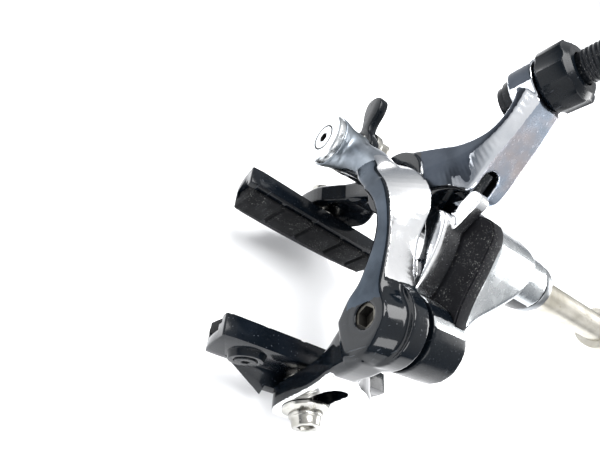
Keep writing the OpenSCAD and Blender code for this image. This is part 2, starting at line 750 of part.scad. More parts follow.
module cable_bolt() {
  color("#c6c8ca") translate([release_x, 0, release_z]) rotate([0, lever_up, 0]) {
    cyl_y(-6, -1, 2, lever_front_y + 0.4, lever_back_y + 4);
    hex_y(-6, -1, 6, lever_back_y + 2.2, lever_back_y + 5.6);
  }
}

module cable_clamp() {
  color("#b5b7b9") translate([release_x, 0, release_z]) rotate([0, lever_up, 0])
    difference() {
      cyl_y(-6, -1, 4, lever_back_y + 0.05, lever_back_y + 2.15);
      cyl_y(-6, -1, 2.02, lever_back_y - 1, lever_back_y + 4);
      translate([-2.6, lever_back_y - 0.2, -6]) cube([1.6, 1.2, 12]);
    }
}

// Shoes, pads and their hardware; the near set is drawn and the far set mirrored

shoe_outline = [
  [-30.4, 6.0], [-29.2, 0], [-27.2, -5.4], [-23.6, -6.9], [0, -7.4], [18, -6.8], [23.6, -5.6],
  [25.4, -1], [24.2, 4.6], [20.6, 6.5], [0, 6.7], [-27.4, 7.2]
];

module at_shoe() {
  translate([0, pad_y, pad_z]) rotate([-shoe_pitch, 0, 0]) children();
}

// Prism along X of an outline in Y and Z
module bar_x(x0, x1) {
  translate([x0, 0, 0]) rotate([90, 0, 90]) linear_extrude(x1 - x0) children();
}

module shoe() {
  color("#1e2023") difference() {
    at_shoe() {
      bar_x(shoe_back_x, shoe_face_x) polygon(curve(concat(shoe_outline, [shoe_outline[0]]), 3));
      shoe_wing();
      translate([shoe_face_x - 1, -19.4, 0]) rotate([0, 90, 0]) cylinder(r1 = 5.2, r2 = 4.2, h = 2.6);
    }
    at_shoe() {
      bar_x(12, shoe_back_x + 1.7) translate([-40, -4.7]) square([63, 9.4]);
      bar_x(12, shoe_back_x + 3) translate([-40, -3.2]) square([63, 6.4]);
      translate([10, -19.4, 0]) rotate([0, 90, 0]) cylinder(r = 1.5, h = 20);
      translate([shoe_face_x - 0.3, -19.4, 0]) rotate([0, 90, 0]) cylinder(r = 2.9, h = 4);
      translate([shoe_face_x, 0, 0]) rotate([0, 90, 0]) cylinder(r = 5.9, h = 20);
    }
    at_pad() translate([-tongue_half - 3.8, 0, 0]) rotate([0, 90, 0])
      cylinder(r = pivot_bolt_r + 0.15, h = 12);
    at_pad() translate([-tongue_half - gap, -7.6, -20]) cube([20, 18.8, 40]);
  }
}

module shoe_wing() {
  translate([shoe_face_x - 1.9, 0, -5.6]) rotate([0, -44, 0]) bar_x(0, 1.8)
    polygon([[-24, 0], [23, 0], [19, -5], [13.6, -12.4], [10.4, -14.6], [6.6, -14.8], [2.6, -12.8]]);
}

module pad() {
  color("#17181a") at_shoe() difference() {
    union() {
      bar_x(pad_face_x, shoe_back_x + 1.6) translate([-27.6, -4.6]) square([50.4, 9.2]);
      bar_x(shoe_back_x + 1.5, shoe_back_x + 2.9) translate([-27.6, -3.1]) square([50.4, 6.2]);
    }
    for (y = [-17.5, -6, 6, 16]) translate([pad_face_x - 1, y - 0.7, -8]) cube([1.9, 1.4, 16]);
    translate([shoe_back_x + 0.6, -19.4, 0]) rotate([0, 90, 0]) cylinder(r = 1.5, h = 20);
  }
}

module pad_screw() {
  color("#2a2c2f") at_shoe() translate([0, -19.4, 0]) rotate([0, 90, 0]) difference() {
    union() {
      translate([0, 0, shoe_back_x + 0.8]) cylinder(r = 1.48, h = 4);
      translate([0, 0, shoe_face_x - 0.28]) cylinder(r = 2.7, h = 2.2);
    }
    translate([0, 0, shoe_face_x]) cylinder(r = 1.1, h = 4, $fn = 6);
  }
}

ball_r = 16;
ball_mid = -tongue_half - 1.3 + ball_r;

// Convex washer against the lower end, a turned piece
module convex_washer() {
  dome = [for (k = [0 : 8]) let (r = mix(pivot_bolt_r, 5.6, k / 8))
    [r, sqrt(ball_r * ball_r - r * r) - ball_mid]];
  color("#c8cacc") at_pad() rotate([0, -90, 0])
    rotate_extrude() polygon(concat([[pivot_bolt_r, tongue_half + 0.02]], dome,
      [[5.6, tongue_half + 0.02]]));
}

// Concave washer against the shoe
module concave_washer() {
  color("#c8cacc") difference() {
    translate([shoe_face_x + 0.02, pad_y, pad_z]) rotate([0, 90, 0]) cylinder(r = 5.6, h = 1.6);
    at_pad() translate([ball_mid, 0, 0]) sphere(r = ball_r + 0.02);
    at_pad() translate([-20, 0, 0]) rotate([0, 90, 0]) cylinder(r = pivot_bolt_r, h = 20);
  }
}

module outer_washer() {
  color("#c8cacc") at_pad() translate([tongue_half + 0.02, 0, 0]) rotate([0, 90, 0])
    difference() {
      union() {
        cylinder(r = pad_washer_r, h = 0.7);
        translate([0, 0, 0.69]) cylinder(r1 = pad_washer_r, r2 = pad_washer_r - 1.6, h = 0.8);
      }
      translate([0, 0, -1]) cylinder(r = pivot_bolt_r, h = 4);
    }
}

module pad_bolt() {
  color("#bfc1c3") at_pad() rotate([0, 90, 0]) difference() {
    union() {
      translate([0, 0, -tongue_half - 3.6]) cylinder(r = pivot_bolt_r, h = tongue_t + 5.6);
      translate([0, 0, tongue_half + 1.51]) cylinder(r = 4.3, h = 0.9);
      translate([0, 0, tongue_half + 2.4]) cylinder(r1 = 3.9, r2 = 3.5, h = 2.2);
    }
    translate([0, 0, tongue_half + 2]) cylinder(r = 2.3, h = 6, $fn = 6);
  }
}

module near_shoe() { shoe(); }
module near_pad() { pad(); }
module near_pad_screw() { pad_screw(); }
module near_pad_bolt() { pad_bolt(); }
module near_outer_washer() { outer_washer(); }
module near_convex_washer() { convex_washer(); }
module near_concave_washer() { concave_washer(); }
module far_shoe() { mirror([1, 0, 0]) shoe(); }
module far_pad() { mirror([1, 0, 0]) pad(); }
module far_pad_screw() { mirror([1, 0, 0]) pad_screw(); }
module far_pad_bolt() { mirror([1, 0, 0]) pad_bolt(); }
module far_outer_washer() { mirror([1, 0, 0]) outer_washer(); }
module far_convex_washer() { mirror([1, 0, 0]) convex_washer(); }
module far_concave_washer() { mirror([1, 0, 0]) concave_washer(); }

bracket();
front_arm();
rear_arm();
spring_cover();
return_spring();
centre_bolt();
centre_washer();
toothed_washer();
sleeve_nut();
front_pivot_bolt();
rear_pivot_bolt();
front_pivot_nut();
rear_pivot_nut();
front_thrust_washer();
rear_thrust_washer();
front_bush();
rear_bush();
centring_screw();
adjuster_barrel();
adjuster_knob();
adjuster_detent();
release_axle();
release_lever();
cable_bolt();
cable_clamp();
near_shoe();
near_pad();
near_pad_screw();
near_pad_bolt();
near_outer_washer();
near_convex_washer();
near_concave_washer();
far_shoe();
far_pad();
far_pad_screw();
far_pad_bolt();
far_outer_washer();
far_convex_washer();
far_concave_washer();
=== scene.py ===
"""Looks of a dual pivot caliper brake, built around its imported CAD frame.

Every sub-assembly is a class that takes its nodes from the frame, gives each a skin with softened
edges, and dresses it in the finish of the real piece. All sizes are in millimetres until a mesh or
a light is made, which is in metres.
"""

import json
import logging
import math

from dataclasses import dataclass, field
from enum import Enum
from typing import Callable

import bmesh
import bpy
from mathutils import Matrix, Vector


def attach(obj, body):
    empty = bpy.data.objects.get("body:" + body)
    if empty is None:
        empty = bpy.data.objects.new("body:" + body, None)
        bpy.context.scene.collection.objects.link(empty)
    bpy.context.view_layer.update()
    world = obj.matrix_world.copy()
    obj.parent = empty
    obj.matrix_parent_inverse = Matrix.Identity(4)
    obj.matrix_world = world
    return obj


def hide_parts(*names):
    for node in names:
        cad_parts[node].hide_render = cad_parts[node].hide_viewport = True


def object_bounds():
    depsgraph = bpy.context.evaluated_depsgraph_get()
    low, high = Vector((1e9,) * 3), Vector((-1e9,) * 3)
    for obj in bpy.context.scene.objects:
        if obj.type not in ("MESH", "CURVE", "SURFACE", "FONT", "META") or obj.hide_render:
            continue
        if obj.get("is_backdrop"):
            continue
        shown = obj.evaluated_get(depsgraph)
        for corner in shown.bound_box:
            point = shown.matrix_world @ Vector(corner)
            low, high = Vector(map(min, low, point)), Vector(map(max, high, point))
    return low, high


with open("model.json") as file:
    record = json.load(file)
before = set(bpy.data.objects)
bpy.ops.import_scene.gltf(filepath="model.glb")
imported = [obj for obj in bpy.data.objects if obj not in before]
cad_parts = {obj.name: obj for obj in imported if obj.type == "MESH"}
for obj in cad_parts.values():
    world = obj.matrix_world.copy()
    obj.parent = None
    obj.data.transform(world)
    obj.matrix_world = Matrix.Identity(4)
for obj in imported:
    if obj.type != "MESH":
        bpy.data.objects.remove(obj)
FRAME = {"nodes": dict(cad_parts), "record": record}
MM = 0.001
# Vertices closer than this are one, and faces flatter than this to one another are merged.
WELD_MM = 0.004
FLAT_DEG = 0.6
# How a forged skin is buffed, and the share of its faces that is kept.
BUFF_FACTOR = 0.5
BUFF_PASSES = 7
LONG_BUFF_PASSES = 60
KEPT_SHARE = 0.45
# Axes along Y that several pieces share, as x and z; the far pivot mirrors the near one.
PIVOT_AT = (19.7, -11.0)
RELEASE_AT = (-32.0, -20.5)
# The solved view: place in millimetres, focal length in pixels, and the rows right, down, ahead.
CAMERA_AT = (55.957, -107.548, 50.972)
CAMERA_FOCAL_PX = 458.0
CAMERA_ROWS = (
    (-0.082185, 0.785864, 0.612914),
    (0.831523, 0.393081, -0.392501),
    (-0.549377, 0.477394, -0.685769),
)
# A mix node has a socket of the same name for each kind of data; these are the colour's.
MIX_SHARE, MIX_UNDER, MIX_OVER, MIX_RESULT = 0, 6, 7, 2
log = logging.getLogger("caliper_brake")


def srgb(code: str) -> tuple[float, float, float, float]:
    """Turn an sRGB hex colour into a linear one.

    Args:
        code: Six hex digits after a hash.

    Returns:
        Linear red, green and blue, and an alpha of one.
    """
    parts = [int(code[i : i + 2], 16) / 255 for i in (1, 3, 5)]
    linear = [c / 12.92 if c <= 0.04045 else ((c + 0.055) / 1.055) ** 2.4 for c in parts]
    return (linear[0], linear[1], linear[2], 1.0)


def add(
    tree: bpy.types.NodeTree,
    kind: str,
    values: dict[str | int, object] | None = None,
    links: dict[str | int, bpy.types.NodeSocket] | None = None,
    **settings: object,
) -> bpy.types.Node:
    """Add a node with its settings, socket values and links.

    Args:
        tree: The node tree that takes the node.
        kind: Blender's name of the node type.
        values: Numbers or colours for the input sockets, by name or place.
        links: Sockets that feed the inputs, by name or place.
        **settings: Properties of the node itself.

    Returns:
        The new node.
    """
    node = tree.nodes.new(kind)
    for name, value in settings.items():
        setattr(node, name, value)
    for name, value in (values or {}).items():
        node.inputs[name].default_value = value
    for name, socket in (links or {}).items():
        tree.links.new(socket, node.inputs[name])
    return node


class Wear(Enum):
    """How the surface has aged."""

    CLEAN = "clean"
    HANDLED = "handled"
    DUSTY = "dusty"
    STAINED = "stained"


@dataclass(frozen=True)
class Finish:
    """A finish of one real material.

    Attributes:
        name: Common name of the material and how it was made.
        slot: The record's material slot; not used.
        colour: Main colour, sRGB.
        second: Colour of the clouding, sRGB.
        metallic: Metal share of the surface.
        roughness: Mean roughness.
        spread: How far the roughness wanders over the surface.
        grain_mm: Size of the surface grain.
        grain_depth_mm: Depth of the grain.
        scratch: Share of hairline scratches, nought to one.
        coat: Clear gloss over the colour.
        wear: How the surface has aged.
        specular: Specular level, for what isn't metal.
    """

    name: str
    slot: str
    colour: str
    second: str
    metallic: float
    roughness: float
    spread: float
    grain_mm: float
    grain_depth_mm: float
    scratch: float
    coat: float = 0.0
    wear: Wear = Wear.CLEAN
    specular: float = 0.5

    def material(self) -> bpy.types.Material:
        """Make the Blender material, once for each finish.

        Returns:
            The material, shared by all pieces of this finish.
        """
        found = bpy.data.materials.get(self.name)
        if found:
            return found
        material = bpy.data.materials.new(self.name)
        material.use_nodes = True
        tree = material.node_tree
        tree.nodes.clear()
        place = add(tree, "ShaderNodeTexCoord").outputs["Object"]
        shader = add(
            tree,
            "ShaderNodeBsdfPrincipled",
            {
                "Metallic": self.metallic,
                "Coat Weight": self.coat,
                "Coat Roughness": 0.04,
                "Specular IOR Level": self.specular,
            },
        )
        add(tree, "ShaderNodeOutputMaterial", links={"Surface": shader.outputs["BSDF"]})
        lines = self._scratches(tree, place)
        tree.links.new(self._colour(tree, place, lines), shader.inputs["Base Color"])
        tree.links.new(self._roughness(tree, place, lines), shader.inputs["Roughness"])
        tree.links.new(self._relief(tree, place, lines), shader.inputs["Normal"])
        return material

    def _scratches(
        self, tree: bpy.types.NodeTree, place: bpy.types.NodeSocket
    ) -> bpy.types.NodeSocket:
        """Hairlines from handling: noise drawn out along one direction and cut to thin ridges.

        Args:
            tree: The material's tree.
            place: Coordinates in metres.

        Returns:
            A mask that is one on a scratch.
        """
        # Real hairlines are about 0.02 mm wide; they are drawn at 0.15 mm so that they show.
        masks = []
        for turn, length_mm in ((0.6, 9.0), (-0.9, 14.0)):
            run = add(
                tree,
                "ShaderNodeMapping",
                {"Rotation": (turn, turn * 0.7, 0.4 * turn),
                 "Scale": (1 / (0.55 * MM), 1 / (0.55 * MM), 1 / (length_mm * MM))},
                {"Vector": place},
            )
            noise = add(
                tree,
                "ShaderNodeTexNoise",
                {"Scale": 1.0, "Detail": 1.0, "Roughness": 0.4},
                {"Vector": run.outputs["Vector"]},
            )
            cut = 0.765 - 0.075 * self.scratch
            ridge = add(
                tree,
                "ShaderNodeMapRange",
                {"From Min": cut, "From Max": cut + 0.03, "To Min": 0.0, "To Max": 1.0},
                {"Value": noise.outputs["Fac"]},
            )
            masks.append(ridge.outputs["Result"])
        both = add(tree, "ShaderNodeMath", links={0: masks[0], 1: masks[1]}, operation="MAXIMUM")
        return both.outputs["Value"]

    def _clouds(
        self, tree: bpy.types.NodeTree, place: bpy.types.NodeSocket, size_mm: float
    ) -> bpy.types.NodeSocket:
        """Soft clouds of a real size, for stains and uneven polish.

        Args:
            tree: The material's tree.
            place: Coordinates in metres.
            size_mm: Size of a cloud.

        Returns:
            A share between nought and one.
        """
        noise = add(
            tree,
            "ShaderNodeTexNoise",
            {"Scale": 1 / (size_mm * MM), "Detail": 5.0, "Roughness": 0.55},
            {"Vector": place},
        )
        return noise.outputs["Fac"]

    def _colour(
        self,
        tree: bpy.types.NodeTree,
        place: bpy.types.NodeSocket,
        lines: bpy.types.NodeSocket,
    ) -> bpy.types.NodeSocket:
        """Clouded base colour with what has settled on it.

        Args:
            tree: The material's tree.
            place: Coordinates in metres.
            lines: Scratch mask.

        Returns:
            The colour.
        """
        clouds = add(
            tree,
            "ShaderNodeMapRange",
            {"From Min": 0.38, "From Max": 0.68},
            {"Value": self._clouds(tree, place, 7.0)},
        )
        colour = add(
            tree,
            "ShaderNodeMix",
            {MIX_UNDER: srgb(self.colour), MIX_OVER: srgb(self.second)},
            {MIX_SHARE: clouds.outputs["Result"]},
            data_type="RGBA",
        ).outputs[MIX_RESULT]
        if self.metallic < 0.5 and self.scratch > 0:
            worn = add(
                tree, "ShaderNodeMath", {1: 0.25}, {0: lines}, operation="MULTIPLY"
            ).outputs["Value"]
            colour = self._over(tree, colour, worn, "#5A5F66")
        if self.wear in (Wear.DUSTY, Wear.STAINED):
            colour = self._over(tree, colour, self._specks(tree, place), self._speck_colour())
        return colour

    def _speck_colour(self) -> str:
        """Pale dust on dark pieces, brown bloom on bright ones."""
        return "#A9AAA6" if self.wear is Wear.DUSTY else "#6F6455"

    def _over(
        self,
        tree: bpy.types.NodeTree,
        under: bpy.types.NodeSocket,
        mask: bpy.types.NodeSocket,
        code: str,
    ) -> bpy.types.NodeSocket:
        """Lay one colour over another where the mask says.

        Args:
            tree: The material's tree.
            under: The colour below.
            mask: Share of the colour above.
            code: The colour above, sRGB.

        Returns:
            The mixed colour.
        """
        return add(
            tree,
            "ShaderNodeMix",
            {MIX_OVER: srgb(code)},
            {MIX_SHARE: mask, MIX_UNDER: under},
            data_type="RGBA",
        ).outputs[MIX_RESULT]

    def _specks(
        self, tree: bpy.types.NodeTree, place: bpy.types.NodeSocket
    ) -> bpy.types.NodeSocket:
        """Grains of dust or stain spots, gathered in patches.

        Args:
            tree: The material's tree.
            place: Coordinates in metres.

        Returns:
            A mask that is one on a speck.
        """
        # Road dust is finer than 0.1 mm; grains of 0.35 mm are what shows at this distance.
        size = 0.35 if self.wear is Wear.DUSTY else 1.1
        grain = add(
            tree,
            "ShaderNodeTexNoise",
            {"Scale": 1 / (size * MM), "Detail": 3.0, "Roughness": 0.7},
            {"Vector": place},
        )
        spot = add(
            tree,
            "ShaderNodeMapRange",
            {"From Min": 0.60, "From Max": 0.72, "To Max": 0.75},
            {"Value": grain.outputs["Fac"]},
        )
        patch = add(
            tree,
            "ShaderNodeMapRange",
            {"From Min": 0.42, "From Max": 0.62},
            {"Value": self._clouds(tree, place, 5.0)},
        )
        return add(
            tree,
            "ShaderNodeMath",
            links={0: spot.outputs["Result"], 1: patch.outputs["Result"]},
            operation="MULTIPLY",
        ).outputs["Value"]

    def _roughness(
        self,
        tree: bpy.types.NodeTree,
        place: bpy.types.NodeSocket,
        lines: bpy.types.NodeSocket,
    ) -> bpy.types.NodeSocket:
        """Roughness that wanders with the clouds and rises on scratches.

        Args:
            tree: The material's tree.
            place: Coordinates in metres.
            lines: Scratch mask.

        Returns:
            The roughness.
        """
        wander = add(
            tree,
            "ShaderNodeMapRange",
            {
                "From Min": 0.3,
                "From Max": 0.7,
                "To Min": max(0.03, self.roughness - self.spread),
                "To Max": self.roughness + self.spread,
            },
            {"Value": self._clouds(tree, place, 3.0)},
        ).outputs["Result"]
        return add(
            tree,
            "ShaderNodeMath",
            {1: 0.12},
            {0: lines, 2: wander},
            operation="MULTIPLY_ADD",
            use_clamp=True,
        ).outputs["Value"]

    def _relief(
        self,
        tree: bpy.types.NodeTree,
        place: bpy.types.NodeSocket,
        lines: bpy.types.NodeSocket,
    ) -> bpy.types.NodeSocket:
        """Grain and scratches as relief.

        Args:
            tree: The material's tree.
            place: Coordinates in metres.
            lines: Scratch mask.

        Returns:
            The normal.
        """
        grain = add(
            tree,
            "ShaderNodeTexNoise",
            {"Scale": 1 / (self.grain_mm * MM), "Detail": 2.0, "Roughness": 0.5},
            {"Vector": place},
        )
        rough = add(
            tree,
            "ShaderNodeBump",
            {"Strength": 1.0, "Distance": self.grain_depth_mm * MM},
            {"Height": grain.outputs["Fac"]},
        )
        return add(
            tree,
            "ShaderNodeBump",
            {"Strength": 0.5, "Distance": 0.008 * MM},
            {"Height": lines, "Normal": rough.outputs["Normal"]},
            invert=True,
        ).outputs["Normal"]


# Aluminium, forged and buffed: a bright mirror with a faint wave and hairlines.
POLISHED = Finish("aluminium forged and buffed", "arm_polished", "#D9DCE1", "#C2C7CE", 1.0, 0.13,
                  0.05, 3.2, 0.012, 0.55)
# Aluminium, buffed, on the black arm: the same mirror, with the record's slot of that arm.
POLISHED_ARCH = Finish("aluminium machined and buffed", "arm_black", "#EDEEF0", "#E0E2E5", 1.0,
                       0.16, 0.05, 3.2, 0.01, 0.45)
# The same metal buffed less, on the wide face of the rear arm: cooler and softer.
BUFFED = Finish("aluminium forged and brushed", "arm_polished", "#98A2B0", "#ADA7A9", 1.0, 0.24,
                0.06, 2.4, 0.012, 0.6)
# Aluminium, bead blasted and anodised clear: a soft satin.
SATIN = Finish("aluminium satin anodised", "bracket_alloy", "#C8CBCD", "#AEB3B6", 1.0, 0.26, 0.07,
               0.5, 0.006, 0.5)
# Aluminium, polished and dyed black in the anodising bath: dark but still mirror bright.
BLACK_GLOSS = Finish("aluminium black anodised gloss", "arm_black", "#070B10", "#0A1016", 0.0,
                     0.1, 0.04, 4.0, 0.008, 0.35, coat=0.14, wear=Wear.HANDLED, specular=0.22)
# The same dye on the machined front face, which throws back more light.
SMOKED = Finish("aluminium smoked anodised mirror", "arm_black", "#2A3037", "#3B424A", 1.0, 0.17,
                0.05, 4.0, 0.008, 0.4)
# The horn's top and sides, paled as a painted reflection of the overhead light.
PALE_PAINTED_REFLECTION = Finish("aluminium smoked anodised with pale painted reflection", "arm_black", "#8E959C", "#6C737B", 1.0,
                     0.4, 0.06, 4.0, 0.006, 0.3)
# Aluminium, black anodised over a fine blast: satin black.
BLACK_SATIN = Finish("aluminium black anodised satin", "black_alloy", "#060A0F", "#0A0F14", 0.0,
                     0.24, 0.07, 0.4, 0.004, 0.4, coat=0.04, wear=Wear.HANDLED, specular=0.12)
# Brushed aluminium on the front and inner side of the rear arm, darkened to grey as painted shade.
BRUSHED_PAINTED_SHADE = Finish("aluminium brushed, darkened as painted shade", "arm_polished", "#3F444B", "#353A42", 1.0, 0.34,
                       0.06, 0.4, 0.004, 0.4)
# Stainless steel, turned and tumbled: bright with brown bloom in places.
STAINLESS = Finish("stainless steel turned", "steel", "#ABAAA5", "#84827B", 1.0, 0.22, 0.07, 0.6,
                   0.006, 0.6, wear=Wear.STAINED)
# Stainless head sunk in its recess, where dirt stays.
DIRTY_STEEL = Finish("stainless steel grimy", "steel", "#5B5953", "#302E2A", 1.0, 0.42, 0.1, 0.5,
                     0.02, 0.6, wear=Wear.STAINED)
# Carbon steel, oiled black.
BLACKENED = Finish("steel black oxide", "black_steel", "#0B0E12", "#14171B", 0.15, 0.32, 0.08, 0.3,
                   0.008, 0.5, wear=Wear.DUSTY, specular=0.18)
# Near black: grime packed into the pivot bolts' sunk heads, and painted shade in the release
# disc's socket and groove.
GRIME_AND_PAINTED_SHADE = Finish("grease caked grime and painted shade", "black_steel", "#0B0B0C", "#191713", 0.0, 0.7, 0.1, 0.4, 0.02,
               0.0, specular=0.2)
# Plated steel washer with a grey bloom.
GREY_STEEL = Finish("steel zinc plated dulled", "steel", "#8E9194", "#75787B", 1.0, 0.34, 0.08,
                    0.4, 0.012, 0.5, wear=Wear.STAINED)
# Aluminium sleeve nut, clear anodised and yellowed with age.
AGED_NUT = Finish("aluminium clear anodised aged", "nut_alloy", "#B9B6AD", "#9C988D", 1.0, 0.38,
                  0.08, 0.5, 0.008, 0.6, wear=Wear.STAINED)
# Spring steel wire.
WIRE = Finish("spring steel wire", "spring_steel", "#9A9C9E", "#7F8184", 1.0, 0.28, 0.06, 0.4,
              0.006, 0.3)
# Sintered bronze sleeve.
BRONZE = Finish("bronze sintered", "bush_bronze", "#B08A55", "#9A7646", 1.0, 0.4, 0.08, 0.3, 0.01,
                0.2)
# Nylon with glass fibre, moulded matt: it holds dust.
RESIN = Finish("nylon moulded matt", "cover_resin", "#0D0D10", "#151619", 0.0, 0.6, 0.1, 0.6,
               0.06, 0.3, wear=Wear.DUSTY, specular=0.1)
# Die cast shoe, black lacquer.
SHOE_BLACK = Finish("aluminium black lacquered", "shoe_black", "#070B10", "#0C1117", 0.0, 0.18,
                    0.07, 1.4, 0.01, 0.45, coat=0.06, wear=Wear.HANDLED, specular=0.14)
# Brake rubber, worn flat.
RUBBER = Finish("rubber brake compound", "pad_rubber", "#111214", "#1A1B1D", 0.0, 0.74, 0.1, 0.35,
                0.03, 0.3, wear=Wear.DUSTY, specular=0.1)


def add_ring(
    work: bmesh.types.BMesh,
    x: float,
    z: float,
    inner: float,
    outer: float,
    front: float,
    back: float,
    sides: int = 72,
) -> None:
    """Add a closed flat ring about an axis along Y.

    Args:
        work: The mesh that takes it.
        x: Place of the axis.
        z: Height of the axis.
        inner: Inner radius.
        outer: Outer radius.
        front: Front face.
        back: Back face.
        sides: Number of sides.
    """
    rows = []
    for radius, y in ((inner, front), (outer, front), (outer, back), (inner, back)):
        row = []
        for step in range(sides):
            turn = math.tau * step / sides
            at = (x + radius * math.cos(turn), y, z + radius * math.sin(turn))
            row.append(work.verts.new(Vector(at) * MM))
        rows.append(row)
    for k in range(4):
        here, there = rows[k], rows[(k + 1) % 4]
        for step in range(sides):
            after = (step + 1) % sides
            work.faces.new((here[step], here[after], there[after], there[step]))


@dataclass
class Skin:
    """A copy of a CAD node with welded facets, softened edges and its own finishes.

    Attributes:
        node: The CAD node that the piece stands for.
        finish: Its main finish.
        soften_mm: Width of the softened edges.
        crease_deg: Edges sharper than this stay edges.
        blend_mm: Grain of a forged skin, whose inner corners run together; nought for none.
        lip: A ring about an axis along Y that a forged skin takes in: x, z, inner and outer
            radius, front and back y.
        calm: Says from a point in millimetres where a forged skin is buffed longer.
    """

    node: str
    finish: Finish
    soften_mm: float = 0.16
    crease_deg: float = 32.0
    blend_mm: float = 0.0
    lip: tuple[float, ...] | None = None
    calm: Callable[[Vector], bool] | None = None

    def build(self) -> bpy.types.Object:
        """Make the piece, hang it on its body and hide its CAD node.

        Returns:
            The new object, riding on its body.
        """
        source = FRAME["nodes"][self.node]
        mesh = source.data.copy()
        work = bmesh.new()
        work.from_mesh(mesh)
        bmesh.ops.remove_doubles(work, verts=work.verts, dist=WELD_MM * MM)
        bmesh.ops.dissolve_degenerate(work, edges=work.edges, dist=WELD_MM * MM)
        bmesh.ops.dissolve_limit(
            work, angle_limit=math.radians(FLAT_DEG), verts=work.verts, edges=work.edges,
            use_dissolve_boundaries=False,
        )
        if self.lip:
            add_ring(work, *self.lip)
        work.to_mesh(mesh)
        work.free()
        mesh.materials.clear()
        mesh.materials.append(self.finish.material())
        piece = bpy.data.objects.new(f"{self.node}_skin", mesh)
        bpy.context.collection.objects.link(piece)
        if self.blend_mm > 0:
            self._forge(piece)
        elif self.soften_mm > 0:
            self._soften(piece)
        piece.data.shade_smooth()
        piece.data.set_sharp_from_angle(angle=math.radians(self.crease_deg))
        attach(piece, body_of(self.node))
        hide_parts(self.node)
        log.info("%s: %d faces, %s", piece.name, len(piece.data.polygons), self.finish.name)
        return piece

    def _forge(self, piece: bpy.types.Object) -> None:
        """Melt the forms into one another as forging and buffing leave them.

        Args:
            piece: The skin, whose modifiers are settled.
        """
        grid = piece.modifiers.new("forge", "REMESH")
        grid.mode = "VOXEL"
        grid.voxel_size = self.blend_mm * MM
        buff = piece.modifiers.new("buff", "SMOOTH")
        buff.factor = BUFF_FACTOR
        buff.iterations = BUFF_PASSES
        if self.calm:
            self._settle(piece)
            self._buff_longer(piece)
        thin = piece.modifiers.new("thin", "DECIMATE")
        thin.ratio = KEPT_SHARE
        self._settle(piece)

    def _buff_longer(self, piece: bpy.types.Object) -> None:
        """Take the ripples out of the part that the skin calls calm.

        Args:
            piece: The skin, which keeps the modifier.
        """
        group = piece.vertex_groups.new(name="calm")
        chosen = [v.index for v in piece.data.vertices if self.calm(v.co / MM)]
        group.add(chosen, 1.0, "REPLACE")
        buff = piece.modifiers.new("buff longer", "SMOOTH")
        buff.vertex_group = group.name
        buff.factor = BUFF_FACTOR
        buff.iterations = LONG_BUFF_PASSES

    def _soften(self, piece: bpy.types.Object) -> None:
        """Round the edges as deburring and tumbling leave them.

        Args:
            piece: The skin, whose modifiers are settled.
        """
        bevel = piece.modifiers.new("deburr", "BEVEL")
        bevel.width = self.soften_mm * MM
        bevel.segments = 2
        bevel.limit_method = "ANGLE"
        bevel.angle_limit = math.radians(self.crease_deg)
        bevel.use_clamp_overlap = True
        self._settle(piece)

    def _settle(self, piece: bpy.types.Object) -> None:
        """Turn the modifiers' result into the piece's own mesh.

        Args:
            piece: The skin, which is left without modifiers.
        """
        depsgraph = bpy.context.evaluated_depsgraph_get()
        rounded = bpy.data.meshes.new_from_object(piece.evaluated_get(depsgraph))
        piece.modifiers.clear()
        piece.data = rounded


def body_of(node: str) -> str:
    """The CAD body that a node belongs to.

    Args:
        node: A CAD node's name.

    Returns:
        The body's name.
    """
    for body, nodes in FRAME["record"]["behaviour"]["bodies"].items():
        if node in nodes:
            return body
    return "root"


Region = Callable[[Vector, Vector], bool]


def repaint(piece: bpy.types.Object, finish: Finish, inside: Region) -> int:
    """Give part of a piece another finish.

    Args:
        piece: The object to change.
        finish: What its faces get.
        inside: Says from a face's centre in millimetres and its normal whether it is meant.

    Returns:
        The number of faces changed.
    """
    piece.data.materials.append(finish.material())
    place = len(piece.data.materials) - 1
    count = 0
    for face in piece.data.polygons:
        if inside(Vector(face.center) / MM, Vector(face.normal)):
            face.material_index = place
            count += 1
    log.info("%s: %d faces in %s", piece.name, count, finish.name)
    return count


def settle_borders(piece: bpy.types.Object, rounds: int = 10) -> None:
    """Straighten the borders between finishes, face by face, by what the neighbours have.

    Args:
        piece: The object whose faces are settled.
        rounds: How often each face is asked.
    """
    owners: dict[tuple[int, int], list[int]] = {}
    for face in piece.data.polygons:
        for edge in face.edge_keys:
            owners.setdefault(edge, []).append(face.index)
    beside: list[list[int]] = [[] for _ in piece.data.polygons]
    for pair in owners.values():
        if len(pair) == 2:
            beside[pair[0]].append(pair[1])
            beside[pair[1]].append(pair[0])
    marks = [face.material_index for face in piece.data.polygons]
    for _ in range(rounds):
        settled = list(marks)
        for index, near in enumerate(beside):
            # The second ring is asked too, so that a single row of faces can't hold out.
            votes = [marks[k] for other in near for k in (other, other, *beside[other])]
            if votes:
                settled[index] = max(set(votes), key=votes.count)
        marks = settled
    piece.data.polygons.foreach_set("material_index", marks)
    piece.data.update()


